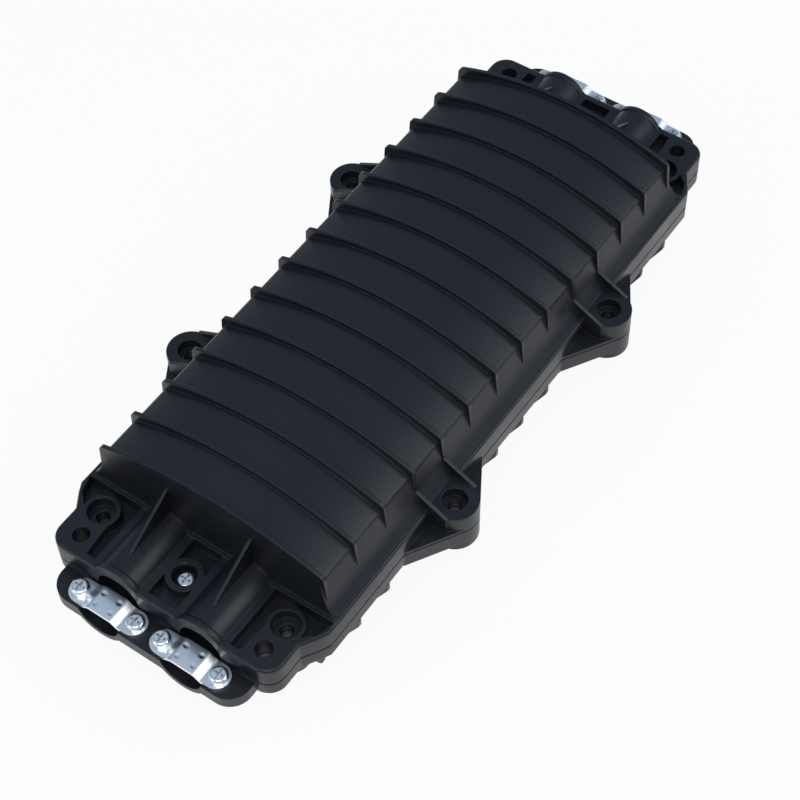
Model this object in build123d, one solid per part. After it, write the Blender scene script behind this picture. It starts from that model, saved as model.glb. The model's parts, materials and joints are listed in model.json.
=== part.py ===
from build123d import *
import math
import os

# Outdoor fibre splice box: a ribbed moulded cover on a matching base, with two open cable
# ports at each end, a steel strap outside each port, and two splice trays inside.
#
# Millimetres. X runs along the box, Y across it and Z up. The origin lies under the middle
# of the flat bottom. Both shells are alike end for end and side for side, so a form is
# written once, for the far left quarter, and mirrored. "near" is the -X end, "left" is +Y.

# Levels
ground_z = 0.0
base_depth = 40.0
cover_flange_height = 10.0
base_flange_height = 8.0
parting_z = base_depth
pad_z = parting_z + cover_flange_height
flange_bottom_z = parting_z - base_flange_height

# Outline of the two flanges
end_half_length = 167.6
flange_half_width = 63.5
pad_step = 6.5
pad_length = 17.9
shoulder_length = 6.9
shoulder_drop = 2.1
waist_length = 4.1
pad_corner_radius = 8.0
flange_edge_radius = 1.4
parting_chamfer = 0.5

# Cover body between the ribs
wall = 3.0
end_land = 34.6
end_wall_lean = 4.0
end_wall_thickness = 5.0
side_sill_width = 7.5
foot_inset = 1.7
cove_width = 4.2
cove_height = 5.0
cove_radius = 18.0
side_wall_lean = 3.4
shoulder_height = 16.5
crown_height = 29.5
shoulder_radius = 3.0

# Cover ribs
rib_count = 14
end_rib_inset = 3.0
rib_thickness = 1.8
rib_crown_rise = 2.5
rib_corner_rise = 5.0
rib_corner_reach = 2.0
rib_lean = 1.6
rib_corner_radius = 3.0

# Side lugs
lug_pitches_from_middle = 3
lug_offset = 5.5
lug_radius = 10.3
lug_wing_half_length = 28.7
lug_wing_height = 1.8
lug_web_start_height = 8.6
lug_web_reach = 3.1
lug_hole_diameter = 6.0
lug_counterbore_diameter = 10.8
lug_counterbore_depth = 5.0
lug_boss_drop = 4.0
lug_nut_across_flats = 8.2
lug_nut_depth = 4.2

# Corner pads
big_hole_end_inset = 22.6
big_hole_side_inset = 10.0
big_counterbore_diameter = 12.3
big_counterbore_depth = 5.0
big_hole_diameter = 6.0
big_ring_radius = 9.4
big_boss_drop = 5.0
small_hole_end_inset = 9.2
small_hole_side_inset = 10.6
small_hole_diameter = 7.4
small_boss_radius = 7.2
pocket_depth = 5.0
pocket_rim = 1.6
groove_offset = 13.2
groove_width = 4.8
pocket_front_wall = 3.7
ledge_reach = 1.5
ledge_thickness = 3.0
ledge_height = 0.9

# Cable ports and the ducts over them
port_radius = 10.4
duct_radius = 12.0
duct_axis_height = 3.6
collar_radius = 13.7
collar_width = 3.0
collar_edge_radius = 1.2
duct_gusset_thickness = 2.0
duct_gusset_height = 20.3
duct_gusset_start_inset = 1.5
duct_gusset_end_inset = 10.8
duct_gusset_end_rise = 0.6
base_duct_radius = 12.9

# Cover screws on the centre line
cover_screw_end_inset = 18.0
cover_screw_well_radius = 5.3
cover_screw_ring_radius = 8.0
cover_screw_seat_drop = 6.4
cover_screw_length = 15.6
centre_pocket_half_width = 7.0
screw_boss_radius = 5.5
screw_boss_drop = 8.0

# Shelf outside the ports, and the straps on it
shelf_reach = 13.4
shelf_side_inset = 8.9
shelf_drop = 2.0
shelf_thickness = 6.3
shelf_corner_radius = 10.0
strap_offset = 6.5
strap_length = 38.2
strap_width = 11.6
strap_thickness = 1.5
strap_flat_half_length = 7.3
strap_ear_start = 10.0
strap_rise = 2.4
strap_bend_radius = 0.9
strap_screw_end_inset = 4.7
strap_middle_gap = 3.8
strap_screw_length = 11.0
strap_boss_radius = 4.6
strap_boss_drop = 6.0
dimple_x_offset = 2.8
dimple_y_offset = 4.0
dimple_radius = 0.9
dimple_depth = 0.35

# Base tub
tub_top_inset = 2.4
tub_wall_lean = 4.7
tub_corner_radius = 14.0
base_rib_proud = 3.5
base_rib_overhang = 0.1
base_rib_nub_height = 3.0
base_rib_count = 15

# Seal between the shells
seal_groove_width = 4.0
seal_groove_depth = 4.0
seal_line_offset = 0.5
seal_corner_radius = 5.0
seal_width = 3.6
seal_height = 3.0
tongue_width = 2.6
seal_port_gap = 0.6

# Pan-head screws
screw_diameter = 4.0
screw_head_diameter = 8.0
screw_head_height = 3.0
screw_head_edge_radius = 1.5
screw_recess_span = 4.6
screw_recess_slot = 1.1
screw_recess_depth = 1.8
screw_recess_taper = 12
screw_tip_chamfer = 0.5
thread_clearance = 0.15
captive_clearance = 0.4

# Steel bracket that carries the trays and the strength members
sheet = 1.5
bracket_side_inset = 8.0
bracket_skirt = 8.0
bracket_bend_radius = 2.5
post_end_inset = 16.0
post_side_inset = 9.0
post_radius = 4.5
post_height = 16.5
post_screw_length = 9.0
tab_width = 20.0
tab_end_gap = 7.0
tab_flat_length = 16.0
tab_step_length = 6.0
tab_root_length = 3.0
tab_rise = 7.5
strength_clamp_inset = 8.0
strength_clamp_length = 14.0
strength_clamp_width = 16.0
strength_clamp_corner_radius = 1.5
strength_channel_offset = 4.4
strength_channel_radius = 1.8
strength_screw_length = 7.0

# Splice trays
tray_end_inset = 8.0
tray_side_gap = 6.0
tray_height = 10.0
tray_wall = 1.6
tray_corner_radius = 14.0
tray_entry_width = 14.0
tray_entry_side_inset = 18.0
tray_hub_radius = 5.0
tray_drum_radius = 22.0
tray_drum_drop = 2.0
tray_tab_length = 8.0
tray_tab_reach = 5.0
tray_tab_thickness = 1.2
tray_tab_from_stud = 10.0
spacer_height = 4.0
spacer_radius = 4.5
holder_length = 26.0
holder_width = 21.0
holder_height = 6.0
holder_side_inset = 13.0
holder_slot_count = 6
holder_slot_pitch = 3.2
holder_slot_width = 1.8
holder_slot_depth = 4.6
lid_thickness = 1.5
lid_snap_length = 12.0
lid_snap_drop = 5.0
lid_snap_thickness = 1.2
lid_snap_from_stud = 16.0
stud_diameter = 4.0
stud_head_diameter = 7.6
stud_head_height = 2.4
stud_end_above_nut = 2.5
nut_across_flats = 8.0
nut_height = 4.0
fit = 0.2

# How far a cutting or joining shape runs on past the face it meets
past = 1.0

# Plan sizes that follow from those above
port_y = (strap_length + strap_middle_gap) / 2
strap_screw_offset = strap_length / 2 - strap_screw_end_inset
pad_half_width = flange_half_width - pad_step
pad_start_x = end_half_length - pad_length
waist_x = pad_start_x - shoulder_length
body_half_length = end_half_length - end_land
cavity_half_length = body_half_length - end_wall_thickness
cavity_half_width = flange_half_width - side_sill_width
foot_half_width = flange_half_width - foot_inset
knee_half_width = foot_half_width - cove_width
shoulder_half_width = knee_half_width - side_wall_lean
rib_pitch = 2 * (body_half_length - end_rib_inset) / (rib_count - 1)
rib_corner_half_width = shoulder_half_width + rib_corner_reach
lug_x = lug_pitches_from_middle * rib_pitch
lug_y = flange_half_width + lug_offset
lug_web_offset = rib_pitch / 2
big_hole_x = end_half_length - big_hole_end_inset
big_hole_y = pad_half_width - big_hole_side_inset
small_hole_x = end_half_length - small_hole_end_inset
small_hole_y = pad_half_width - small_hole_side_inset
groove_start_y = port_y + groove_offset
groove_end_y = groove_start_y + groove_width
pocket_end_x = end_half_length - pocket_front_wall
ledge_outer_x = body_half_length + ledge_reach
duct_gusset_start = body_half_length - duct_gusset_start_inset
duct_gusset_end = end_half_length - duct_gusset_end_inset
cover_screw_x = end_half_length - cover_screw_end_inset
shelf_end_x = end_half_length + shelf_reach
shelf_half_width = pad_half_width - shelf_side_inset
strap_x = end_half_length + strap_offset
tub_top_half_width = flange_half_width - tub_top_inset
tub_bottom_half_width = tub_top_half_width - tub_wall_lean
tub_cavity_bottom_half_width = tub_bottom_half_width - wall
base_rib_half_width = flange_half_width + base_rib_overhang
seal_line_x = body_half_length + seal_line_offset
seal_line_y = (cavity_half_width + flange_half_width) / 2
tab_end_x = cavity_half_length - tab_end_gap
tab_step_end = tab_end_x - tab_flat_length
tab_step_start = tab_step_end - tab_step_length
strength_clamp_x = tab_end_x - strength_clamp_inset
bracket_half_length = tab_step_start - tab_root_length
tray_length = 2 * (bracket_half_length - tray_end_inset)
tray_width = 2 * (cavity_half_width - tray_side_gap)
bracket_half_width = tray_width / 2 - bracket_side_inset
post_x = bracket_half_length - post_end_inset
post_y = bracket_half_width - post_side_inset
tray_stud_x = tray_length / 4
tray_entry_y = tray_width / 2 - tray_entry_side_inset
tray_tab_x = tray_stud_x - tray_tab_from_stud
lid_snap_x = tray_stud_x + lid_snap_from_stud
holder_y = tray_width / 2 - holder_side_inset

# Levels that follow from those above
rib_crown_height = crown_height + rib_crown_rise
rib_corner_height = shoulder_height + rib_corner_rise
floor_z = base_rib_proud + wall
bracket_z = floor_z + post_height
bracket_top_z = bracket_z + sheet
tab_top_z = bracket_top_z + tab_rise
lower_tray_z = bracket_top_z + spacer_height
upper_tray_z = lower_tray_z + tray_height
lid_z = upper_tray_z + tray_height
nut_z = lid_z + lid_thickness
duct_axis_z = parting_z + duct_axis_height
shelf_top_z = parting_z - shelf_drop
shelf_bottom_z = shelf_top_z - shelf_thickness
pocket_floor_z = pad_z - pocket_depth
cover_screw_seat_z = pad_z - cover_screw_seat_drop
seal_top_z = parting_z - seal_groove_depth + seal_height

# Rows and names
rib_positions = [(i - (rib_count - 1) / 2) * rib_pitch for i in range(rib_count)]
base_rib_positions = [(i - (base_rib_count - 1) / 2) * rib_pitch for i in range(base_rib_count)]
ends = {"near": -1, "far": 1}
sides = {"left": 1, "right": -1}


# Mirroring and extruding

def both_ends(shape):
    return Part() + [shape, mirror(shape, Plane.YZ)]


def both_sides(shape):
    return Part() + [shape, mirror(shape, Plane.XZ)]


def four_quarters(shape):
    return both_ends(both_sides(shape))


def along_x(profile, start, end):
    """Extrude a profile drawn in (y, z) from x = start to x = end."""
    return extrude(Plane.YZ.offset(start) * profile, end - start, dir=(1, 0, 0))


def along_y(profile, start, end):
    """Extrude a profile drawn in (x, z) from y = start to y = end."""
    return extrude(Plane.XZ.offset(-start) * profile, end - start, dir=(0, 1, 0))


def upward(profile, start, end):
    """Extrude a plan outline from z = start to z = end."""
    return extrude(Plane.XY.offset(start) * profile, end - start, dir=(0, 0, 1))


def upright_cylinder(x, y, radius, start, end):
    return upward(Pos(x, y) * Circle(radius), start, end)


def polygon(*points):
    return Polygon(*points, align=None)


def symmetric_polygon(right_half):
    """Close a right-hand half outline with its mirror image in the vertical axis."""
    left_half = [(-across, up) for across, up in reversed(right_half)]
    return polygon(*right_half, *left_half)


def bottom_corners(profile):
    return profile.vertices().group_by(Axis.Y)[0]


def top_corners(profile):
    return profile.vertices().group_by(Axis.Y)[-1]


def arched_profile(feet, corner, crown_z, corner_radius):
    """A symmetric profile under one long arc, with its two upper corners rounded."""
    corner_y, corner_z = corner
    left_feet = [(-y, z) for y, z in reversed(feet)]
    walls = Polyline(corner, *feet, *left_feet, (-corner_y, corner_z))
    arch = ThreePointArc((-corner_y, corner_z), (0, crown_z), corner)
    profile = make_face(walls.edges() + arch.edges())
    return fillet(top_corners(profile), corner_radius)


# Flange outline, shared by the two shells

def flange_outline():
    quarter = [
        (end_half_length, pad_half_width),
        (pad_start_x, pad_half_width),
        (waist_x, flange_half_width - shoulder_drop),
        (waist_x - waist_length, flange_half_width),
    ]
    left = quarter + [(-x, y) for x, y in reversed(quarter)]
    right = [(x, -y) for x, y in reversed(left)]
    outline = polygon(*left, *right)
    corners = [v for v in outline.vertices() if abs(v.X) > end_half_length - past]
    return fillet(corners, pad_corner_radius)


def lug_outline():
    """The lug with its two wings, running tangent from the flange side to the round end."""
    wing_depth = wall
    wings = Pos(lug_x, flange_half_width - wing_depth / 2) * Rectangle(2 * lug_wing_half_length, wing_depth)
    round_end = Pos(lug_x, lug_y) * Circle(lug_radius)
    return make_hull(wings.edges() + round_end.edges())


def flange_prism(start, end, rounded):
    """The flange as a plate, with one rim chamfered at the parting plane and one rounded."""
    plate = upward(flange_outline(), start, end)
    rims = plate.edges().group_by(Axis.Z)
    parting_rim, free_rim = (rims[0], rims[-1]) if rounded == "top" else (rims[-1], rims[0])
    plate = chamfer(parting_rim, parting_chamfer)
    free_z = end if rounded == "top" else start
    free_rim = [e for e in plate.edges() if abs(e.center().Z - free_z) < 0.01]
    return fillet(free_rim, flange_edge_radius)


# Cover

def cover_body():
    """The crown between the ribs, with leaning end walls and side walls that flare at the foot."""
    knee_z = pad_z + cove_height
    feet = [(knee_half_width, knee_z), (foot_half_width, pad_z), (foot_half_width, parting_z)]
    corner = (shoulder_half_width, pad_z + shoulder_height)
    section = arched_profile(feet, corner, pad_z + crown_height, shoulder_radius)
    knees = [v for v in section.vertices() if abs(v.Y - knee_z) < cove_height / 2]
    section = fillet(knees, cove_radius)
    top_half_length = body_half_length - end_wall_lean
    lengthwise = symmetric_polygon([
        (body_half_length, parting_z),
        (body_half_length, pad_z),
        (top_half_length, pad_z + crown_height + past),
    ])
    block = along_x(section, -body_half_length, body_half_length)
    return block & along_y(lengthwise, -foot_half_width, foot_half_width)


def cover_rib(x):
    corner = (rib_corner_half_width, pad_z + rib_corner_height)
    foot = (rib_corner_half_width + rib_lean, pad_z)
    profile = arched_profile([foot], corner, pad_z + rib_crown_height, rib_corner_radius)
    return along_x(profile, x - rib_thickness / 2, x + rib_thickness / 2)


def cover_lug():
    """A raised pad between two rib-thick webs, standing on thin wings."""
    wings = upward(lug_outline(), parting_z, parting_z + lug_wing_height)
    pad_half = lug_web_offset - rib_thickness / 2
    inner_y = shoulder_half_width
    pad = Pos(lug_x, (inner_y + lug_y) / 2) * Rectangle(2 * pad_half, lug_y - inner_y)
    pad_shape = upward(pad + Pos(lug_x, lug_y) * Circle(lug_radius), parting_z, pad_z)
    tip_y = lug_y + lug_web_reach
    web_profile = polygon(
        (inner_y, parting_z),
        (inner_y, pad_z + lug_web_start_height + past),
        (rib_corner_half_width, pad_z + lug_web_start_height),
        (tip_y, pad_z),
        (tip_y, parting_z),
    )
    webs = []
    for offset in (-lug_web_offset, lug_web_offset):
        middle = lug_x + offset
        webs.append(along_x(web_profile, middle - rib_thickness / 2, middle + rib_thickness / 2))
    return Part() + [wings, pad_shape] + webs


def cover_duct():
    """The vaulted roof over one port, its mouth collar and the thin gusset on its back."""
    start = cavity_half_length
    arch = Pos(port_y, duct_axis_z) * Circle(duct_radius)
    below = Pos(port_y, (parting_z + duct_axis_z) / 2) * Rectangle(2 * duct_radius, duct_axis_height)
    above_parting = Pos(port_y, pad_z) * Rectangle(4 * duct_radius, 2 * cover_flange_height)
    roof = along_x((arch + below) & above_parting, start, end_half_length - collar_width / 2)
    ring = (Pos(port_y, duct_axis_z) * Circle(collar_radius)) & above_parting
    collar = along_x(ring, end_half_length - collar_width, end_half_length)
    arc_edges = [e for e in collar.edges() if e.geom_type == GeomType.CIRCLE]
    collar = fillet(arc_edges, collar_edge_radius)
    crown_z = duct_axis_z + duct_radius
    gusset_profile = polygon(
        (start, pad_z),
        (start, pad_z + duct_gusset_height),
        (duct_gusset_start, pad_z + duct_gusset_height),
        (duct_gusset_end, crown_z + duct_gusset_end_rise),
        (duct_gusset_end, pad_z),
    )
    half = duct_gusset_thickness / 2
    gusset = along_y(gusset_profile, port_y - half, port_y + half)
    return Part() + [roof, collar, gusset]


def corner_pocket():
    """The sunk areas of one corner pad: a long groove beside the duct, and the rest of the
    pad's inner end around the ring of the big hole."""
    start_x = ledge_outer_x
    groove = polygon(
        (start_x, groove_start_y),
        (pocket_end_x, groove_start_y),
        (pocket_end_x, groove_end_y),
        (start_x, groove_end_y),
    )
    inner_end = polygon(
        (start_x, groove_end_y),
        (big_hole_x, groove_end_y),
        (big_hole_x, big_hole_y),
        (pad_start_x - pocket_rim, pad_half_width - pocket_rim),
        (waist_x - pocket_rim / 2, flange_half_width - shoulder_drop - pocket_rim),
        (start_x, flange_half_width - pocket_rim),
    )
    ring = Pos(big_hole_x, big_hole_y) * Circle(big_ring_radius)
    return upward(groove + inner_end - ring, pocket_floor_z, pad_z + past)


def centre_pocket():
    """The sunk area between the two ducts of one end, around the ring of the cover screw."""
    half = centre_pocket_half_width
    middle_x = (ledge_outer_x + pocket_end_x) / 2
    area = Pos(middle_x, 0) * Rectangle(pocket_end_x - ledge_outer_x, 2 * half)
    ring = Pos(cover_screw_x, 0) * Circle(cover_screw_ring_radius)
    return upward(area - ring, pocket_floor_z, pad_z + past)


def end_ledge():
    """The low strip across the pad at the foot of the end wall."""
    middle_x = ledge_outer_x - ledge_thickness / 2
    strip = Pos(middle_x, 0) * Rectangle(ledge_thickness, 2 * (flange_half_width - flange_edge_radius))
    return upward(strip, parting_z + past, pad_z + ledge_height)


def cover_cavity():
    inner_crown = pad_z + crown_height - wall
    lean = side_wall_lean / (shoulder_height - cove_height)
    inner_shoulder = shoulder_half_width - wall * math.sqrt(1 + lean ** 2)
    bend_z = pad_z + shoulder_height - (cavity_half_width - inner_shoulder) / lean
    feet = [(cavity_half_width, bend_z), (cavity_half_width, parting_z)]
    corner = (inner_shoulder, pad_z + shoulder_height)
    section = arched_profile(feet, corner, inner_crown, shoulder_radius)
    lengthwise = symmetric_polygon([
        (cavity_half_length, parting_z),
        (body_half_length - end_wall_lean - wall, pad_z + crown_height),
    ])
    block = along_x(section, -cavity_half_length, cavity_half_length)
    return block & along_y(lengthwise, -cavity_half_width, cavity_half_width)


def port_bores(end_x):
    """The four round ports, each half in the cover and half in the base."""
    start = cavity_half_length - wall
    bore = along_x(Pos(port_y, parting_z) * Circle(port_radius), start, end_x)
    return four_quarters(bore)


def cover_holes():
    lug_hole = upright_cylinder(lug_x, lug_y, lug_hole_diameter / 2, parting_z, pad_z)
    lug_sink_z = pad_z - lug_counterbore_depth
    lug_sink = upright_cylinder(lug_x, lug_y, lug_counterbore_diameter / 2, lug_sink_z, pad_z + past)
    big_hole = upright_cylinder(big_hole_x, big_hole_y, big_hole_diameter / 2, parting_z, pad_z)
    big_sink_z = pad_z - big_counterbore_depth
    big_sink = upright_cylinder(big_hole_x, big_hole_y, big_counterbore_diameter / 2, big_sink_z, pad_z + past)
    small_hole = upright_cylinder(small_hole_x, small_hole_y, small_hole_diameter / 2, parting_z, pad_z + past)
    screw_radius = screw_diameter / 2 + captive_clearance
    screw_hole = upright_cylinder(cover_screw_x, 0, screw_radius, parting_z, pad_z)
    screw_well = upright_cylinder(cover_screw_x, 0, cover_screw_well_radius, cover_screw_seat_z, pad_z + past)
    corner_cuts = four_quarters(Part() + [lug_hole, lug_sink, big_hole, big_sink, small_hole])
    return Part() + [corner_cuts, both_ends(Part() + [screw_hole, screw_well])]


def cover_shell():
    flange = flange_prism(parting_z, pad_z, "top")
    pockets = Part() + [four_quarters(corner_pocket()), both_ends(centre_pocket())]
    raised = [cover_body(), both_ends(end_ledge()), four_quarters(cover_lug()), four_quarters(cover_duct())]
    ribs = [cover_rib(x) for x in rib_positions]
    shell = (flange - pockets) + raised + ribs
    shell = shell - cover_cavity() - port_bores(end_half_length + past) - cover_holes()
    return shell + seal_runs(tongue_width, seal_top_z, parting_z)


# Seals in the groove between the shells

def strip_outline(width):
    """Plan outline of the left-hand long strip: down the side, then in to each port."""
    half = width / 2
    outer = Rectangle(2 * (seal_line_x + half), 2 * (seal_line_y + half))
    inner = Rectangle(2 * (seal_line_x - half), 2 * (seal_line_y - half))
    outer = fillet(outer.vertices(), seal_corner_radius + half)
    inner = fillet(inner.vertices(), seal_corner_radius - half)
    port_edge = port_y + port_radius + seal_port_gap
    keep = Pos(0, port_edge + seal_line_y) * Rectangle(4 * seal_line_x, 2 * seal_line_y)
    return (outer - inner) & keep


def short_strip_outline(width):
    """Plan outline of the far short strip, between the two ports."""
    half_length = port_y - port_radius - seal_port_gap
    return Pos(seal_line_x, 0) * Rectangle(width, 2 * half_length)


def seal_runs(width, start, end):
    long_run = both_sides(upward(strip_outline(width), start, end))
    short_run = both_ends(upward(short_strip_outline(width), start, end))
    return Part() + [long_run, short_run]


def side_seal(side):
    z = parting_z - seal_groove_depth
    strip = upward(strip_outline(seal_width), z, z + seal_height)
    return strip if side > 0 else mirror(strip, Plane.XZ)


def end_seal(end):
    z = parting_z - seal_groove_depth
    strip = upward(short_strip_outline(seal_width), z, z + seal_height)
    return strip if end > 0 else mirror(strip, Plane.YZ)


# Base

def tub():
    """The tub under the flange: leaning walls and generously rounded lower corners."""
    section = symmetric_polygon([
        (tub_bottom_half_width, base_rib_proud),
        (tub_top_half_width, parting_z - past),
    ])
    section = fillet(bottom_corners(section), tub_corner_radius)
    bottom_half_length = body_half_length - end_wall_lean
    lengthwise = symmetric_polygon([
        (bottom_half_length, base_rib_proud),
        (body_half_length, parting_z - past),
    ])
    block = along_x(section, -body_half_length, body_half_length)
    return block & along_y(lengthwise, -tub_top_half_width, tub_top_half_width)


def base_rib(x):
    profile = symmetric_polygon([
        (tub_bottom_half_width + base_rib_proud, 0),
        (base_rib_half_width, flange_bottom_z - base_rib_nub_height),
        (base_rib_half_width, flange_bottom_z + past),
    ])
    profile = fillet(bottom_corners(profile), tub_corner_radius + base_rib_proud)
    return along_x(profile, x - rib_thickness / 2, x + rib_thickness / 2)


def base_end_web():
    """The rib beyond the tub's end: it stiffens the end of the flange between the ports."""
    x = base_rib_positions[-1]
    depth_z = parting_z - base_duct_radius - base_rib_proud
    web_half = rib_thickness / 2
    half_width = (pad_half_width + flange_half_width) / 2
    top_z = flange_bottom_z + past
    profile = Pos(0, (depth_z + top_z) / 2) * Rectangle(2 * half_width, top_z - depth_z)
    profile = fillet(bottom_corners(profile), base_rib_proud)
    return along_x(profile, x - web_half, x + web_half)


def base_duct():
    """The trough under one port, running out below the shelf."""
    arch = Pos(port_y, parting_z) * Circle(base_duct_radius)
    below = Pos(port_y, flange_bottom_z - base_duct_radius) * Rectangle(4 * base_duct_radius, 2 * base_duct_radius)
    return along_x(arch & below, cavity_half_length, shelf_end_x)


def shelf():
    start_x = end_half_length - shelf_corner_radius
    plan = Pos((start_x + shelf_end_x) / 2, 0) * Rectangle(shelf_end_x - start_x, 2 * shelf_half_width)
    outer = plan.vertices().group_by(Axis.X)[-1]
    return upward(fillet(outer, shelf_corner_radius), shelf_bottom_z, shelf_top_z)


def base_bosses():
    """Round bosses under the flange, one for each hole of a quarter and for the straps."""
    lug_z = flange_bottom_z - lug_boss_drop
    big_z = flange_bottom_z - big_boss_drop
    strap_z = shelf_bottom_z - strap_boss_drop
    lug = upright_cylinder(lug_x, lug_y, lug_radius, lug_z, flange_bottom_z + past)
    big = upright_cylinder(big_hole_x, big_hole_y, big_ring_radius, big_z, flange_bottom_z + past)
    small = upright_cylinder(small_hole_x, small_hole_y, small_boss_radius, big_z, flange_bottom_z + past)
    bosses = [lug, big, small]
    for offset in (-strap_screw_offset, strap_screw_offset):
        bosses.append(upright_cylinder(strap_x, port_y + offset, strap_boss_radius, strap_z, shelf_bottom_z + past))
    return Part() + bosses


def base_posts():
    """Posts on the floor of the tub, drilled for the screws of the tray bracket."""
    post = upright_cylinder(post_x, post_y, post_radius, base_rib_proud + past, bracket_z)
    return four_quarters(post)


def base_holes():
    lug_z = flange_bottom_z - lug_boss_drop
    lug_hole = upright_cylinder(lug_x, lug_y, lug_hole_diameter / 2, ground_z, parting_z + past)
    nut_side = Pos(lug_x, lug_y) * RegularPolygon(lug_nut_across_flats / 2, 6, major_radius=False)
    nut_pocket = upward(nut_side, ground_z, lug_z + lug_nut_depth)
    big_hole = upright_cylinder(big_hole_x, big_hole_y, big_hole_diameter / 2, ground_z, parting_z + past)
    small_hole = upright_cylinder(small_hole_x, small_hole_y, small_hole_diameter / 2, ground_z, parting_z + past)
    strap_radius = screw_diameter / 2 + thread_clearance
    strap_hole_z = shelf_top_z + strap_thickness - strap_screw_length - thread_clearance
    cuts = [lug_hole, nut_pocket, big_hole, small_hole]
    for offset in (-strap_screw_offset, strap_screw_offset):
        cuts.append(upright_cylinder(strap_x, port_y + offset, strap_radius, strap_hole_z, shelf_top_z + past))
    post_radius_inner = screw_diameter / 2 + thread_clearance
    post_hole_z = bracket_top_z - post_screw_length - past
    cuts.append(upright_cylinder(post_x, post_y, post_radius_inner, post_hole_z, bracket_z + past))
    screw_radius = screw_diameter / 2 + captive_clearance
    screw_hole_z = cover_screw_seat_z - cover_screw_length - past
    screw_hole = upright_cylinder(cover_screw_x, 0, screw_radius, screw_hole_z, parting_z + past)
    return Part() + [four_quarters(Part() + cuts), both_ends(screw_hole)]


def tub_cavity():
    section = symmetric_polygon([
        (tub_cavity_bottom_half_width, floor_z),
        (cavity_half_width, parting_z + past),
    ])
    section = fillet(bottom_corners(section), tub_corner_radius - wall)
    bottom_half_length = body_half_length - end_wall_lean - wall
    lengthwise = symmetric_polygon([
        (bottom_half_length, floor_z),
        (cavity_half_length, parting_z + past),
    ])
    block = along_x(section, -cavity_half_length, cavity_half_length)
    return block & along_y(lengthwise, -cavity_half_width, cavity_half_width)


def base_shell():
    flange = flange_prism(flange_bottom_z, parting_z, "bottom")
    lug = upward(lug_outline(), flange_bottom_z, parting_z)
    screw_boss_z = flange_bottom_z - screw_boss_drop
    screw_boss = upright_cylinder(cover_screw_x, 0, screw_boss_radius, screw_boss_z, flange_bottom_z + past)
    quarter = Part() + [lug, base_duct(), base_bosses()]
    end = Part() + [shelf(), screw_boss, base_end_web()]
    inner_ribs = [x for x in base_rib_positions if abs(x) < body_half_length]
    ribs = [base_rib(x) for x in inner_ribs]
    shell = flange + [tub(), four_quarters(quarter), both_ends(end)] + ribs
    shell = (shell - tub_cavity()) + base_posts()
    groove = seal_runs(seal_groove_width, parting_z - seal_groove_depth, parting_z + past)
    return shell - port_bores(shelf_end_x + past) - groove - base_holes()


# Fasteners

def pan_head_screw(x, y, seat_z, length):
    """A pan-head screw with a cross recess, standing on its seat."""
    radius = screw_head_diameter / 2
    head = upright_cylinder(x, y, radius, seat_z, seat_z + screw_head_height)
    rim = head.edges().group_by(Axis.Z)[-1]
    head = fillet(rim, screw_head_edge_radius)
    shank = upright_cylinder(x, y, screw_diameter / 2, seat_z - length, seat_z)
    tip = shank.edges().group_by(Axis.Z)[0]
    shank = chamfer(tip, screw_tip_chamfer)
    slot = Rectangle(screw_recess_span, screw_recess_slot)
    cross = Pos(x, y) * (slot + Rot(0, 0, 90) * slot)
    top_z = seat_z + screw_head_height
    recess = extrude(Plane.XY.offset(top_z) * cross, -screw_recess_depth, taper=screw_recess_taper)
    return (head + shank) - recess


def cover_screw(end):
    return pan_head_screw(end * cover_screw_x, 0, cover_screw_seat_z, cover_screw_length)


# Straps outside the ports

def strap_profile():
    """Side view of the bent sheet: flat ears and a raised middle that bridges the trough."""
    ear_z = shelf_top_z + strap_thickness
    top = [
        (strap_length / 2, ear_z),
        (strap_ear_start, ear_z),
        (strap_flat_half_length, ear_z + strap_rise),
    ]
    upper = top + [(-y, z) for y, z in reversed(top)]
    lower = [(y, z - strap_thickness) for y, z in reversed(upper)]
    profile = polygon(*upper, *lower)
    bends = [v for v in profile.vertices() if abs(v.X) < strap_length / 2 - past]
    return fillet(bends, strap_bend_radius)


def cable_clamp(end, side):
    x = end * strap_x
    y = side * port_y
    half = strap_width / 2
    bent = along_x(Pos(y, 0) * strap_profile(), x - half, x + half)
    plan = Pos(x, y) * Rot(0, 0, 90) * SlotOverall(strap_length, strap_width)
    ear_z = shelf_top_z + strap_thickness
    strap = bent & upward(plan, shelf_top_z - past, ear_z + strap_rise + past)
    cuts = []
    for offset in (-strap_screw_offset, strap_screw_offset):
        radius = screw_diameter / 2 + captive_clearance
        cuts.append(upright_cylinder(x, y + offset, radius, shelf_top_z - past, ear_z + past))
    top_z = ear_z + strap_rise
    for dx in (-dimple_x_offset, dimple_x_offset):
        for dy in (-dimple_y_offset, dimple_y_offset):
            cuts.append(upright_cylinder(x + dx, y + dy, dimple_radius, top_z - dimple_depth, top_z + past))
    return strap - cuts


def clamp_screws(end, side):
    screws = []
    for offset in (-strap_screw_offset, strap_screw_offset):
        y = side * port_y + offset
        screws.append(pan_head_screw(end * strap_x, y, shelf_top_z + strap_thickness, strap_screw_length))
    return Compound(children=screws)


# Bracket with the strength-member clamps

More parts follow.
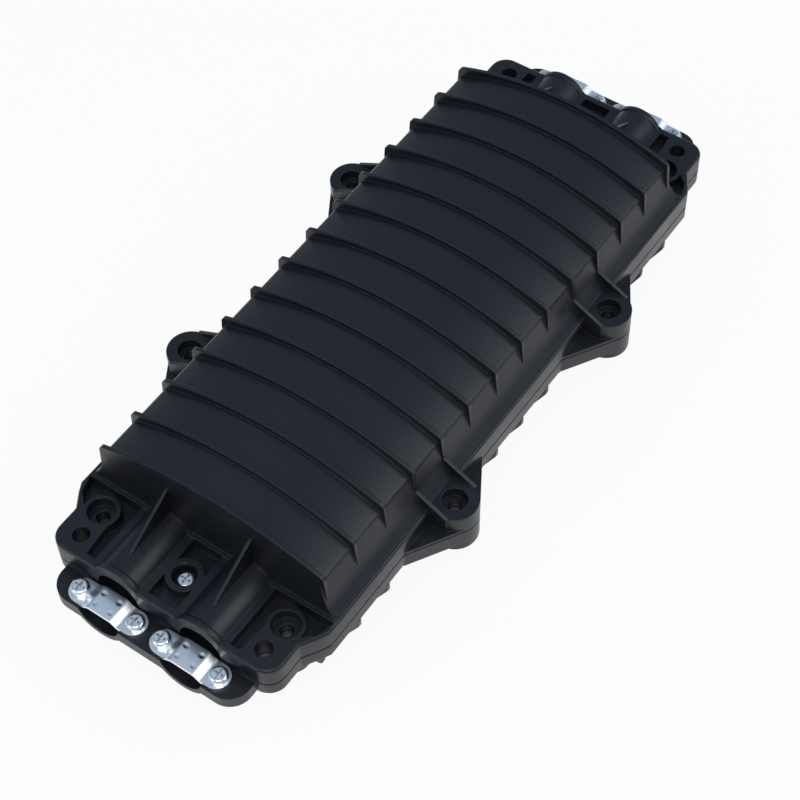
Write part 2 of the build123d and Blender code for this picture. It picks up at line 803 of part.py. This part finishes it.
def tray_bracket():
    """A sheet with two turned-down sides, and a stepped tab in line with each port."""
    half = bracket_half_width
    channel = Pos(0, bracket_top_z - bracket_skirt / 2) * Rectangle(2 * half, bracket_skirt)
    channel = fillet(top_corners(channel), bracket_bend_radius)
    inside_z = bracket_z - bracket_skirt / 2
    inside = Pos(0, inside_z) * Rectangle(2 * (half - sheet), bracket_skirt)
    inside = fillet(top_corners(inside), bracket_bend_radius - sheet)
    plate = along_x(channel - inside, -bracket_half_length, bracket_half_length)
    upper = [
        (bracket_half_length - sheet, bracket_top_z),
        (tab_step_start, bracket_top_z),
        (tab_step_end, tab_top_z),
        (tab_end_x, tab_top_z),
    ]
    lower = [(x, z - sheet) for x, z in reversed(upper)]
    tab = along_y(polygon(*upper, *lower), port_y - tab_width / 2, port_y + tab_width / 2)
    bracket = plate + four_quarters(tab)
    clamp_hole = upright_cylinder(
        strength_clamp_x, port_y, screw_diameter / 2 + thread_clearance, bracket_z, tab_top_z + past)
    post_hole = upright_cylinder(
        post_x, post_y, screw_diameter / 2 + captive_clearance, bracket_z - past, bracket_top_z + past)
    stud_hole_radius = stud_diameter / 2 + thread_clearance
    stud_hole = upright_cylinder(tray_stud_x, 0, stud_hole_radius, bracket_z - past, bracket_top_z + past)
    return bracket - four_quarters(Part() + [clamp_hole, post_hole]) - both_ends(stud_hole)


def bracket_screws():
    screws = []
    for end in ends.values():
        for side in sides.values():
            screws.append(pan_head_screw(end * post_x, side * post_y, bracket_top_z, post_screw_length))
    return Compound(children=screws)


def strength_clamp(end, side):
    """A small plate with a channel on each side of its screw, for the cable's strength member."""
    x = end * strength_clamp_x
    y = side * port_y
    block = Pos(y, tab_top_z + sheet) * Rectangle(strength_clamp_width, 2 * sheet)
    for offset in (-strength_channel_offset, strength_channel_offset):
        block -= Pos(y + offset, tab_top_z) * Circle(strength_channel_radius)
    half = strength_clamp_length / 2
    plate = along_x(block, x - half, x + half)
    corners = [e for e in plate.edges().filter_by(Axis.Z) if e.length > sheet]
    plate = fillet(corners, strength_clamp_corner_radius)
    return plate - upright_cylinder(x, y, screw_diameter / 2 + captive_clearance, bracket_z, tab_top_z + 3 * sheet)


def strength_screw(end, side):
    return pan_head_screw(end * strength_clamp_x, side * port_y, tab_top_z + 2 * sheet, strength_screw_length)


# Trays on their two studs

def tray_stud(end):
    """A threaded stud, drawn plain, whose round head sits under the bracket."""
    x = end * tray_stud_x
    head = upright_cylinder(x, 0, stud_head_diameter / 2, bracket_z - stud_head_height, bracket_z)
    top_z = nut_z + nut_height + stud_end_above_nut
    rod = upright_cylinder(x, 0, stud_diameter / 2, bracket_z, top_z)
    rod = chamfer(rod.edges().group_by(Axis.Z)[-1], screw_tip_chamfer)
    return head + rod


def ring_on_stud(x, radius, start, end):
    hole = upright_cylinder(x, 0, stud_diameter / 2 + thread_clearance, start - past, end + past)
    return upright_cylinder(x, 0, radius, start, end) - hole


def tray_spacer(end):
    return ring_on_stud(end * tray_stud_x, spacer_radius, bracket_top_z, lower_tray_z)


def tray_nut(end):
    outline = Pos(end * tray_stud_x, 0) * RegularPolygon(nut_across_flats / 2, 6, major_radius=False)
    hole = Pos(end * tray_stud_x, 0) * Circle(stud_diameter / 2 + thread_clearance)
    return upward(outline - hole, nut_z, nut_z + nut_height)


def tray_plan(inset):
    plan = Rectangle(tray_length - 2 * inset, tray_width - 2 * inset)
    return fillet(plan.vertices(), tray_corner_radius - inset)


def splice_tray(z):
    """A shallow tray with a fibre entry at each corner, two coil drums and retaining tabs."""
    rim_z = z + tray_height
    tray = upward(tray_plan(0), z, rim_z) - upward(tray_plan(tray_wall), z + tray_wall, rim_z + past)
    entry = Pos(tray_length / 2, tray_entry_y) * Rectangle(4 * tray_wall, tray_entry_width)
    tray -= four_quarters(upward(entry, z + tray_wall, rim_z + past))
    drum = Circle(tray_drum_radius) - Circle(tray_drum_radius - tray_wall)
    drum_wall = upward(Pos(tray_stud_x, 0) * drum, z, rim_z - tray_drum_drop)
    hub = upright_cylinder(tray_stud_x, 0, tray_hub_radius, z, rim_z)
    tab_y = tray_width / 2 - tray_wall / 2 - tray_tab_reach / 2
    wall_tab = Pos(tray_tab_x, tab_y) * Rectangle(tray_tab_length, tray_tab_reach + tray_wall)
    tab_z = rim_z - tray_tab_thickness
    tabs = four_quarters(upward(wall_tab, tab_z, rim_z))
    drum_tab = Pos(tray_stud_x, tray_drum_radius + tray_tab_reach / 2 - tray_wall) * Rectangle(
        tray_tab_length, tray_tab_reach)
    drum_tab_z = rim_z - tray_drum_drop
    tabs += four_quarters(upward(drum_tab, drum_tab_z - tray_tab_thickness, drum_tab_z))
    tray += [both_ends(Part() + [drum_wall, hub]), tabs]
    hole = upright_cylinder(tray_stud_x, 0, stud_diameter / 2 + thread_clearance, z - past, rim_z + past)
    return tray - both_ends(hole)


def splice_holder(z, side):
    """A soft comb whose slots grip the splice sleeves, which lie along the tray."""
    y = side * holder_y
    floor = z + tray_wall
    block = upward(Pos(0, y) * Rectangle(holder_length, holder_width), floor, floor + holder_height)
    slots = []
    top_z = floor + holder_height
    for i in range(holder_slot_count):
        slot_y = y + (i - (holder_slot_count - 1) / 2) * holder_slot_pitch
        slot = Pos(0, slot_y) * Rectangle(holder_length + 2, holder_slot_width)
        slots.append(upward(slot, top_z - holder_slot_depth, top_z + past))
    return block - slots


def tray_lid():
    """The flat lid of the upper tray, with four snap tongues down the tray's long sides."""
    plate = upward(tray_plan(0), lid_z, nut_z)
    tongue_y = tray_width / 2 + fit + lid_snap_thickness / 2
    tongue = Pos(lid_snap_x, tongue_y) * Rectangle(lid_snap_length, lid_snap_thickness)
    bridge_width = fit + lid_snap_thickness + tray_wall
    bridge_y = tray_width / 2 + fit + lid_snap_thickness - bridge_width / 2
    bridge = Pos(lid_snap_x, bridge_y) * Rectangle(lid_snap_length, bridge_width)
    snap = upward(tongue, lid_z - lid_snap_drop, lid_z) + upward(bridge, lid_z, nut_z)
    hole = upright_cylinder(tray_stud_x, 0, stud_diameter / 2 + thread_clearance, lid_z - past, nut_z + past)
    return plate + four_quarters(snap) - both_ends(hole)


# All pieces, by the name of the node

def build_pieces():
    pieces = {
        "base_shell": base_shell(),
        "cover_shell": cover_shell(),
        "tray_bracket": tray_bracket(),
        "bracket_screws": bracket_screws(),
        "tray_lid": tray_lid(),
    }
    for end_name, end in ends.items():
        pieces[f"cover_screw_{end_name}"] = cover_screw(end)
        pieces[f"seal_{end_name}"] = end_seal(end)
        pieces[f"tray_stud_{end_name}"] = tray_stud(end)
        pieces[f"tray_spacer_{end_name}"] = tray_spacer(end)
        pieces[f"tray_nut_{end_name}"] = tray_nut(end)
        for side_name, side in sides.items():
            place = f"{end_name}_{side_name}"
            pieces[f"cable_clamp_{place}"] = cable_clamp(end, side)
            pieces[f"clamp_screws_{place}"] = clamp_screws(end, side)
            pieces[f"strength_clamp_{place}"] = strength_clamp(end, side)
            pieces[f"strength_screw_{place}"] = strength_screw(end, side)
    for side_name, side in sides.items():
        pieces[f"seal_{side_name}"] = side_seal(side)
    for level, z in {"lower": lower_tray_z, "upper": upper_tray_z}.items():
        pieces[f"splice_tray_{level}"] = splice_tray(z)
        for side_name, side in sides.items():
            pieces[f"splice_holder_{level}_{side_name}"] = splice_holder(z, side)
    return pieces


os.makedirs("parts", exist_ok=True)
for name, piece in build_pieces().items():
    export_step(piece, f"parts/{name}.step")
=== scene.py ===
import json
import math

import bmesh
import bpy
from mathutils import Matrix, Vector

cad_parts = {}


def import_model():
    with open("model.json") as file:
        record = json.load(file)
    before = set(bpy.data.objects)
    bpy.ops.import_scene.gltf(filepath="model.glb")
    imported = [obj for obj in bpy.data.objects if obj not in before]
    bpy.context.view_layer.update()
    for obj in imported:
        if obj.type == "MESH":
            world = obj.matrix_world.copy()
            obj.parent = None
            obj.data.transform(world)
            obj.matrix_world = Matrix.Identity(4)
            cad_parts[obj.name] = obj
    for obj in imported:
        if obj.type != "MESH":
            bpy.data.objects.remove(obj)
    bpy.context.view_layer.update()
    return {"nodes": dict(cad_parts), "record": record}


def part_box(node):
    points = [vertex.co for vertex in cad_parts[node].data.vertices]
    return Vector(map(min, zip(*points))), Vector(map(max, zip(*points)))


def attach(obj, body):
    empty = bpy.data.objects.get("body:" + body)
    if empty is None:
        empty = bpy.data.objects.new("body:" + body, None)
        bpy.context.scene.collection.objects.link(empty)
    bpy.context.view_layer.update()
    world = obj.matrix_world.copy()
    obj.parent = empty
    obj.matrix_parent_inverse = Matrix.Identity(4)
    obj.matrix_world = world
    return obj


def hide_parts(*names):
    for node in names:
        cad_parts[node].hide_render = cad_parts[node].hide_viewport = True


# The frame

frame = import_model()
nodes = frame["nodes"]
subparts = frame["record"]["subparts"]

# Camera, fitted to the photograph

CAMERA_PLACE = (-0.414906, -0.309121, 0.700235)
CAMERA_RIGHT = (0.57258, -0.81949, -0.02435)
CAMERA_UP = (0.66835, 0.44936, 0.59278)
CAMERA_BACK = (-0.47483, -0.35569, 0.80500)
LENS_MM = 86.05
SENSOR_MM = 36.0

# Surface detail, with all lengths from here on in metres

EDGE_ROUNDING = 0.0006
SHEET_EDGE_ROUNDING = 0.00015
GRAIN_SIZE = 0.0005
GRAIN_DEPTH = 0.000012
CLOUD_SIZE = 0.035
SCUFF_SIZE = 0.006
STREAK_SIZE = 0.003
STREAK_DEPTH = 0.000006
MOTTLE_SIZE = 0.006
DUST_SIZE = 0.0025
DUST_DEPTH = 0.00002
TRAY_CLOUD_SIZE = 0.02
HAZE_SIZE = 0.012
HAZE_DEPTH = 0.00002

# Colours, linear

PLASTIC = (0.0085, 0.0095, 0.0135)
PLASTIC_WORN = (0.015, 0.0165, 0.022)
# Painted shade: colour of the band that stands in for the shadow in the gap between the shells
GAP_SHADE_COLOUR = (0.001, 0.001, 0.001)
STEEL = (0.88, 0.90, 0.93)
ZINC = (0.85, 0.87, 0.89)
GALVANISED = (0.52, 0.53, 0.54)
SEAL_RUBBER = (0.018, 0.018, 0.019)
HOLDER_RUBBER = (0.05, 0.055, 0.065)
TRAY_SHADE = (0.62, 0.62, 0.58)
TRAY_LIGHT = (0.70, 0.70, 0.67)
LID_TINT = (0.86, 0.90, 0.92)
PAPER = (0.9, 0.9, 0.9)
DAYLIGHT = (0.62, 0.78, 1.0)
COOL_LIGHT = (0.80, 0.90, 1.0)

# Copied meshes, with the angle in degrees

WELD_DISTANCE = 0.000002
TOUCH = 0.0001
SHARP_ANGLE = 28

# Painted shade: a dark, dull band of colour where the two shells meet, standing in for the shadow in
# the gap between them

SEAM_Z = 0.0401
SEAM_HALF = 0.0004

# Tub of the base: the ribs' feet as they are in the solid and as they are seen

TUB_REACH = 0.1335
TUB_INNER = 0.040
FLANGE_SIDE = 0.0636
NUB_TOP = 0.029
RIB_FOOT_CAD = 0.0599
RIB_FOOT_SEEN = 0.0486

# Panels of the cover between the ribs

SHOULDER_Y = 0.0542
SHOULDER_Z = 0.0665
CROWN_TOP = 0.0795
SHOULDER_LIFT = 0.0012
CROWN_LIFT = 0.0002
SHOULDER_SPREAD = 1.009
SHOULDER_PAST = 0.0002
SHOULDER_ROUND_WIDTH = 0.0042
SHOULDER_ROUND_DEPTH = 0.0025
PANEL_SKIN = 0.0004

# Ducts and corner pads of the cover

PAD_Z = 0.050
PAD_POCKET_DEPTH = 0.005
DUCT_START_X = 0.128
PORT_Y = 0.021
DUCT_AXIS_Z = 0.0436
DUCT_RADIUS = 0.012
COLLAR_X = 0.1645
COLLAR_RADIUS = 0.0137
COLLAR_KEEP = 0.35
GUSSET_HALF = 0.001
GUSSET_SLACK = 0.00005
GUSSET_KEEP = 0.7
BIG_HOLE = (0.145, 0.047)
RING_CAD = 0.0094
RING_SEEN = 0.0080

# Cable straps

STRAP_RISE = 0.0024
STRAP_RISE_END = 0.0100
STRAP_FLAT_END = 0.0050
STRAP_SHEET = 0.0015
STRAP_STEPS = 96
STRAP_CROSS_STEPS = 32
STRAP_TIP_HALF_WIDTH = 0.00001
STRAP_SCREW_OFFSET = 0.0144
STRAP_HOLE_RADIUS = 0.0024
STRAP_PUNCH_LENGTH = 0.01
STRAP_PUNCH_SIDES = 32
DIMPLE_PLACE = (0.0040, 0.0028)
DIMPLE_RADIUS = 0.0009
DIMPLE_DEPTH = 0.00030

# Floor and light

FLOOR_SIZE = 6.0
FLOOR_Z = -0.0002
FLOOR_SHADOW_SHARE = 0.08
LIGHTS_AIM = (0, 0, 0.04)
DAYLIGHT_STRENGTH = 0.46


# Node helpers

class Shader:
    """A small builder for one node material."""

    def __init__(self, name):
        self.material = bpy.data.materials.new(name)
        self.material.use_nodes = True
        self.tree = self.material.node_tree
        self.tree.nodes.clear()
        self.output = self.add("OutputMaterial")
        self.surface = self.add("BsdfPrincipled")
        self.join(self.surface, "BSDF", self.output, "Surface")

    def add(self, kind, **settings):
        node = self.tree.nodes.new("ShaderNode" + kind)
        for key, value in settings.items():
            setattr(node, key, value)
        return node

    def join(self, source, output, target, socket):
        self.tree.links.new(source.outputs[output], target.inputs[socket])

    def values(self, node, **inputs):
        """Set a node's inputs by name, with _ for each space in the name."""
        for key, value in inputs.items():
            node.inputs[key.replace("_", " ")].default_value = value

    def noise(self, size, detail=3.0, roughness=0.5, stretch=(1, 1, 1)):
        """Noise whose features are about that large, stretched along the axes."""
        place = self.add("TexCoord")
        mapping = self.add("Mapping")
        mapping.inputs["Scale"].default_value = [1 / s for s in stretch]
        self.join(place, "Object", mapping, "Vector")
        texture = self.add("TexNoise")
        self.values(texture, Scale=1 / size, Detail=detail, Roughness=roughness)
        self.join(mapping, "Vector", texture, "Vector")
        return texture

    def level_band(self, height, half):
        """1 within a thin level band round a height, 0 elsewhere."""
        place = self.add("TexCoord")
        parts = self.add("SeparateXYZ")
        self.join(place, "Object", parts, "Vector")
        band = self.add("Math", operation="COMPARE")
        self.join(parts, "Z", band, 0)
        band.inputs[1].default_value = height
        band.inputs[2].default_value = half
        return band

    def ramp(self, source, output, stops):
        """A colour ramp over a value: stops are (position, colour or grey)."""
        node = self.add("ValToRGB")
        elements = node.color_ramp.elements
        for element, (position, colour) in zip(elements, stops):
            element.position = position
            if not hasattr(colour, "__len__"):
                colour = (colour, colour, colour)
            element.color = (*colour, 1)
        self.join(source, output, node, "Fac")
        return node

    def larger(self, first, first_output, second, second_output):
        node = self.add("Math", operation="MAXIMUM")
        self.join(first, first_output, node, 0)
        self.join(second, second_output, node, 1)
        return node

    def bump(self, height, depth, edge):
        """Bump of that depth, over edges that look rounded by the radius edge."""
        bevel = self.add("Bevel", samples=6)
        self.values(bevel, Radius=edge)
        node = self.add("Bump")
        self.values(node, Strength=1.0, Distance=depth)
        self.join(height, "Fac", node, "Height")
        self.join(bevel, "Normal", node, "Normal")
        self.join(node, "Normal", self.surface, "Normal")


# Materials

def moulded_plastic(name, colour, worn, roughness=0.36):
    """Moulded plastic: fine grain, cloudy gloss, lighter scuffs, and painted shade in a dark band
    where the shells meet.
    """
    s = Shader(name)
    cloud = s.noise(CLOUD_SIZE, detail=4)
    scuff = s.noise(SCUFF_SIZE, detail=6, roughness=0.7)
    scuff_mask = s.ramp(scuff, "Fac", [(0.60, 0.0), (0.78, 0.35)])
    tint = s.add("MixRGB")
    s.values(tint, Color1=(*colour, 1), Color2=(*worn, 1))
    s.join(scuff_mask, "Color", tint, "Fac")
    # Painted shade: the colour goes dark in a thin band at the height where the shells meet, for the
    # shadow in the gap between them
    gap_shade_band = s.level_band(SEAM_Z, SEAM_HALF)
    shade = s.add("MixRGB")
    s.values(shade, Color2=(*GAP_SHADE_COLOUR, 1))
    s.join(gap_shade_band, "Value", shade, "Fac")
    s.join(tint, "Color", shade, "Color1")
    s.join(shade, "Color", s.surface, "Base Color")
    gloss = s.ramp(cloud, "Fac", [(0.3, roughness - 0.05), (0.7, roughness + 0.06)])
    dull = s.larger(gloss, "Color", gap_shade_band, "Value")
    s.join(dull, "Value", s.surface, "Roughness")
    s.bump(s.noise(GRAIN_SIZE, detail=2), GRAIN_DEPTH, EDGE_ROUNDING)
    s.values(s.surface, IOR=1.42)
    return s.material


def sheet_metal(name, colour, roughness, stretch):
    """Plated sheet or wire: faint rolling streaks and a mottled gloss."""
    s = Shader(name)
    streak = s.noise(STREAK_SIZE, detail=2, roughness=0.4, stretch=stretch)
    mottle = s.noise(MOTTLE_SIZE, detail=3)
    dark = [c * 0.93 for c in colour]
    shade = s.ramp(mottle, "Fac", [(0.35, dark), (0.65, colour)])
    s.join(shade, "Color", s.surface, "Base Color")
    gloss = s.ramp(streak, "Fac", [(0.3, roughness - 0.06), (0.7, roughness + 0.08)])
    s.join(gloss, "Color", s.surface, "Roughness")
    s.bump(streak, STREAK_DEPTH, SHEET_EDGE_ROUNDING)
    s.values(s.surface, Metallic=1.0)
    return s.material


def soft_rubber(name, colour):
    """Dull rubber with a little dust on it."""
    s = Shader(name)
    dust = s.noise(DUST_SIZE, detail=5, roughness=0.65)
    lighter = [c * 1.7 for c in colour]
    shade = s.ramp(dust, "Fac", [(0.4, colour), (0.75, lighter)])
    s.join(shade, "Color", s.surface, "Base Color")
    s.bump(dust, DUST_DEPTH, EDGE_ROUNDING)
    s.values(s.surface, Roughness=0.75)
    return s.material


def tray_plastic(name):
    """Off-white moulded plastic with a fine grain."""
    s = Shader(name)
    cloud = s.noise(TRAY_CLOUD_SIZE, detail=3)
    shade = s.ramp(cloud, "Fac", [(0.3, TRAY_SHADE), (0.7, TRAY_LIGHT)])
    s.join(shade, "Color", s.surface, "Base Color")
    s.bump(s.noise(GRAIN_SIZE, detail=2), GRAIN_DEPTH, EDGE_ROUNDING)
    s.values(s.surface, Roughness=0.42)
    return s.material


def clear_plastic(name):
    """Clear plastic with a faint haze."""
    s = Shader(name)
    haze = s.noise(HAZE_SIZE, detail=4)
    gloss = s.ramp(haze, "Fac", [(0.35, 0.08), (0.7, 0.16)])
    s.join(gloss, "Color", s.surface, "Roughness")
    s.values(s.surface, Base_Color=(*LID_TINT, 1), IOR=1.49, Transmission_Weight=0.85)
    s.bump(haze, HAZE_DEPTH, SHEET_EDGE_ROUNDING)
    return s.material


# Materials on the CAD nodes

finishes = {
    "black_plastic": moulded_plastic("black_plastic", PLASTIC, PLASTIC_WORN),
    "strap_steel": sheet_metal("strap_steel", STEEL, 0.30, (1, 8, 1)),
    "zinc_screws": sheet_metal("zinc_screws", ZINC, 0.24, (1, 1, 4)),
    "bracket_steel": sheet_metal("bracket_steel", GALVANISED, 0.38, (8, 1, 1)),
    "seal_rubber": soft_rubber("seal_rubber", SEAL_RUBBER),
    "tray_plastic": tray_plastic("tray_plastic"),
    "holder_rubber": soft_rubber("holder_rubber", HOLDER_RUBBER),
    "clear_plastic": clear_plastic("clear_plastic"),
}
for part in subparts:
    piece = nodes[part["node"]]
    piece.data.materials.clear()
    piece.data.materials.append(finishes[part["material_slot"]])


# Pieces whose form is refined here

def merged_mesh(node):
    """A copy of a node's mesh, with its split corners joined, ready for small moves."""
    made = bmesh.new()
    made.from_mesh(nodes[node].data)
    bmesh.ops.remove_doubles(made, verts=made.verts, dist=WELD_DISTANCE)
    return made


def finish_piece(made, name, node, body, slot):
    """Turn a worked mesh into the piece that shows in place of a node."""
    bmesh.ops.recalc_face_normals(made, faces=made.faces)
    mesh = bpy.data.meshes.new(name)
    made.to_mesh(mesh)
    made.free()
    if "custom_normal" in mesh.attributes:
        mesh.attributes.remove(mesh.attributes["custom_normal"])
    for face in mesh.polygons:
        face.use_smooth = True
    mesh.set_sharp_from_angle(angle=math.radians(SHARP_ANGLE))
    mesh.materials.append(finishes[slot])
    piece = bpy.data.objects.new(name, mesh)
    bpy.context.scene.collection.objects.link(piece)
    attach(piece, body)
    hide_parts(node)
    return piece


def side(value):
    return 1 if value > 0 else -1


def slim_base(co):
    """Draw the tub and its ribs in towards the bottom, so that only nubs show from above."""
    x, y, z = co
    if abs(x) < TUB_REACH and z < NUB_TOP and TUB_INNER < abs(y) < FLANGE_SIDE:
        share = z / NUB_TOP
        old = RIB_FOOT_CAD + (FLANGE_SIDE - RIB_FOOT_CAD) * share
        new = RIB_FOOT_SEEN + (FLANGE_SIDE - RIB_FOOT_SEEN) * share
        scale = (new - TUB_INNER) / (old - TUB_INNER)
        co.y = side(y) * (TUB_INNER + (abs(y) - TUB_INNER) * scale)


def arch_height(y):
    """Height of the arched panels at a distance from the middle line."""
    drop = CROWN_TOP - SHOULDER_Z
    radius = (SHOULDER_Y ** 2 + drop ** 2) / (2 * drop)
    return CROWN_TOP - radius + math.sqrt(radius ** 2 - min(abs(y), SHOULDER_Y) ** 2)


def lift_shoulder(co):
    """Raise the long edges of the panels and move them outward a little."""
    x, y, z = co
    if abs(x) > TUB_REACH or abs(y) > SHOULDER_Y + SHOULDER_PAST:
        return
    above = z - arch_height(y)
    on_rounding = abs(y) > SHOULDER_Y - SHOULDER_ROUND_WIDTH
    lowest = -SHOULDER_ROUND_DEPTH if on_rounding else -PANEL_SKIN
    if lowest < above < PANEL_SKIN:
        share = (y / SHOULDER_Y) ** 2
        co.z = z + SHOULDER_LIFT * share + CROWN_LIFT * (1 - share)
        co.y = y * SHOULDER_SPREAD


def slim_duct(co):
    """Lower the collar of each duct nearly to the vault, and thin its gusset."""
    x, y, z = co
    if z < PAD_Z - TOUCH or abs(x) < DUCT_START_X:
        return
    across = abs(y) - PORT_Y
    up = z - DUCT_AXIS_Z
    radius = math.hypot(across, up)
    if abs(x) > COLLAR_X and DUCT_RADIUS + TOUCH < radius < COLLAR_RADIUS + TOUCH:
        scale = (DUCT_RADIUS + (radius - DUCT_RADIUS) * COLLAR_KEEP) / radius
        if z < PAD_Z + TOUCH:
            reach = math.sqrt((radius * scale) ** 2 - up ** 2)
            co.y = side(y) * (PORT_Y + side(across) * reach)
        else:
            co.y = side(y) * (PORT_Y + across * scale)
            co.z = DUCT_AXIS_Z + up * scale
    elif abs(abs(across) - GUSSET_HALF) < GUSSET_SLACK and abs(x) < COLLAR_X:
        co.y = side(y) * (PORT_Y + across * GUSSET_KEEP)


def slim_ring(co):
    """Narrow the ring round the larger hole of each corner pad."""
    x, y, z = co
    dx = abs(x) - BIG_HOLE[0]
    dy = abs(y) - BIG_HOLE[1]
    radius = math.hypot(dx, dy)
    if z > PAD_Z - PAD_POCKET_DEPTH - TOUCH and abs(radius - RING_CAD) < TOUCH:
        scale = RING_SEEN / radius
        co.x = side(x) * (BIG_HOLE[0] + dx * scale)
        co.y = side(y) * (BIG_HOLE[1] + dy * scale)


def refine_shell(node, body, moves):
    """Show a shell by a copy of its mesh, with each vertex put through some small moves."""
    made = merged_mesh(node)
    for vertex in made.verts:
        for move in moves:
            move(vertex.co)
    finish_piece(made, node + "_seen", node, body, "black_plastic")


def strap_height(along):
    """Height of the strap's top over its ears: one smooth rise on each side of the middle."""
    share = (STRAP_RISE_END - abs(along)) / (STRAP_RISE_END - STRAP_FLAT_END)
    share = min(max(share, 0.0), 1.0)
    return STRAP_RISE * share * share * (3 - 2 * share)


def dimple_drop(along, across):
    """Depth of the four dimples at a place on the strap."""
    drop = 0.0
    for du in (-DIMPLE_PLACE[0], DIMPLE_PLACE[0]):
        for dv in (-DIMPLE_PLACE[1], DIMPLE_PLACE[1]):
            far = math.hypot(along - du, across - dv) / DIMPLE_RADIUS
            drop += DIMPLE_DEPTH * math.exp(-(far ** 4))
    return drop


def strap_grid(made, middle, half_length, half_width, top_z):
    """Rows of vertices over one face of a strap, narrowed to round ends."""
    rows = []
    for i in range(STRAP_STEPS + 1):
        along = -half_length * math.cos(math.pi * i / STRAP_STEPS)
        past_centre = max(abs(along) - (half_length - half_width), 0.0)
        width = math.sqrt(max(half_width ** 2 - past_centre ** 2, STRAP_TIP_HALF_WIDTH ** 2))
        row = []
        for j in range(STRAP_CROSS_STEPS + 1):
            across = width * (2 * j / STRAP_CROSS_STEPS - 1)
            z = top_z + strap_height(along) - dimple_drop(along, across)
            row.append(made.verts.new((middle.x + across, middle.y + along, z)))
        rows.append(row)
    return rows


def join_grids(made, top, under):
    """Faces over the top and the underside of a strap, and round its edge."""
    for i in range(STRAP_STEPS):
        for j in range(STRAP_CROSS_STEPS):
            made.faces.new((top[i][j], top[i][j + 1], top[i + 1][j + 1], top[i + 1][j]))
            made.faces.new((under[i][j], under[i + 1][j], under[i + 1][j + 1], under[i][j + 1]))
        for j in (0, STRAP_CROSS_STEPS):
            made.faces.new((top[i][j], top[i + 1][j], under[i + 1][j], under[i][j]))
    for i in (0, STRAP_STEPS):
        for j in range(STRAP_CROSS_STEPS):
            made.faces.new((top[i][j], top[i][j + 1], under[i][j + 1], under[i][j]))


def punch_hole(piece, place):
    """Cut a round screw hole through a piece."""
    bpy.ops.mesh.primitive_cylinder_add(
        vertices=STRAP_PUNCH_SIDES, radius=STRAP_HOLE_RADIUS, depth=STRAP_PUNCH_LENGTH, location=place)
    punch = bpy.context.object
    cut = piece.modifiers.new("hole", "BOOLEAN")
    cut.operation = "DIFFERENCE"
    cut.object = punch
    bpy.context.view_layer.objects.active = piece
    bpy.ops.object.modifier_apply(modifier="hole")
    bpy.data.objects.remove(punch)


def strap(node):
    """A strap of bent sheet on a fine grid, round at both ends, with four punched dimples."""
    low, high = (Vector(p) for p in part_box(node))
    middle = (low + high) / 2
    half_length = (high.y - low.y) / 2
    half_width = (high.x - low.x) / 2
    ear_top = high.z - STRAP_RISE
    made = bmesh.new()
    top = strap_grid(made, middle, half_length, half_width, ear_top)
    under = strap_grid(made, middle, half_length, half_width, ear_top - STRAP_SHEET)
    join_grids(made, top, under)
    piece = finish_piece(made, node + "_bent", node, "base", "strap_steel")
    for offset in (-STRAP_SCREW_OFFSET, STRAP_SCREW_OFFSET):
        punch_hole(piece, (middle.x, middle.y + offset, ear_top))


refine_shell("base_shell", "base", [slim_base])
refine_shell("cover_shell", "cover", [lift_shoulder, slim_duct, slim_ring])
for part in subparts:
    if part["node"].startswith("cable_clamp_"):
        strap(part["node"])


# Floor, light and camera

def floor():
    """A white sheet under the box, plain white to the camera and to glossy surfaces."""
    bpy.ops.mesh.primitive_plane_add(size=FLOOR_SIZE, location=(0, 0, FLOOR_Z))
    sheet = bpy.context.object
    sheet.name = "floor_sheet"
    s = Shader("floor_white")
    s.tree.nodes.remove(s.surface)
    white = s.add("Emission")
    s.values(white, Color=(1, 1, 1, 1), Strength=1.0)
    paper = s.add("BsdfDiffuse")
    s.values(paper, Color=(*PAPER, 1))
    seen = s.add("MixShader")
    s.values(seen, Fac=FLOOR_SHADOW_SHARE)
    s.join(white, "Emission", seen, 1)
    s.join(paper, "BSDF", seen, 2)
    path = s.add("LightPath")
    mirror_like = s.larger(path, "Is Glossy Ray", path, "Is Transmission Ray")
    direct = s.larger(path, "Is Camera Ray", mirror_like, "Value")
    mix = s.add("MixShader")
    s.join(direct, "Value", mix, 0)
    s.join(paper, "BSDF", mix, 1)
    s.join(seen, "Shader", mix, 2)
    s.join(mix, "Shader", s.output, "Surface")
    sheet.data.materials.append(s.material)


def area_light(name, place, size, power, colour=(1, 1, 1)):
    """A softbox of that size and power in watts, turned towards the box."""
    data = bpy.data.lights.new(name, "AREA")
    data.shape = "RECTANGLE"
    data.size, data.size_y = size
    data.energy = power
    data.color = colour
    light = bpy.data.objects.new(name, data)
    bpy.context.scene.collection.objects.link(light)
    light.location = place
    light.rotation_mode = "QUATERNION"
    light.rotation_quaternion = (Vector(LIGHTS_AIM) - Vector(place)).to_track_quat("-Z", "Y")


def world():
    made = bpy.data.worlds.new("studio")
    made.use_nodes = True
    back = made.node_tree.nodes["Background"]
    back.inputs["Color"].default_value = (*DAYLIGHT, 1)
    back.inputs["Strength"].default_value = DAYLIGHT_STRENGTH
    bpy.context.scene.world = made


def camera():
    data = bpy.data.cameras.new("camera")
    data.lens = LENS_MM
    data.sensor_width = SENSOR_MM
    data.clip_start, data.clip_end = 0.02, 20
    cam = bpy.data.objects.new("camera", data)
    bpy.context.scene.collection.objects.link(cam)
    turn = Matrix((CAMERA_RIGHT, CAMERA_UP, CAMERA_BACK)).transposed().to_4x4()
    cam.matrix_world = Matrix.Translation(CAMERA_PLACE) @ turn
    bpy.context.scene.camera = cam


floor()
world()
area_light("right_softbox", (0.50, -1.05, 1.08), (1.3, 1.0), 8.0)
area_light("left_softbox", (-1.2, 0.6, 0.75), (0.8, 0.5), 3.0)
area_light("top_softbox", (-0.75, -0.35, 1.4), (0.9, 0.7), 8.0)
area_light("back_softbox", (0.25, 0.62, 1.35), (0.9, 0.7), 0.35, COOL_LIGHT)
camera()
bpy.context.scene.view_settings.view_transform = "Standard"
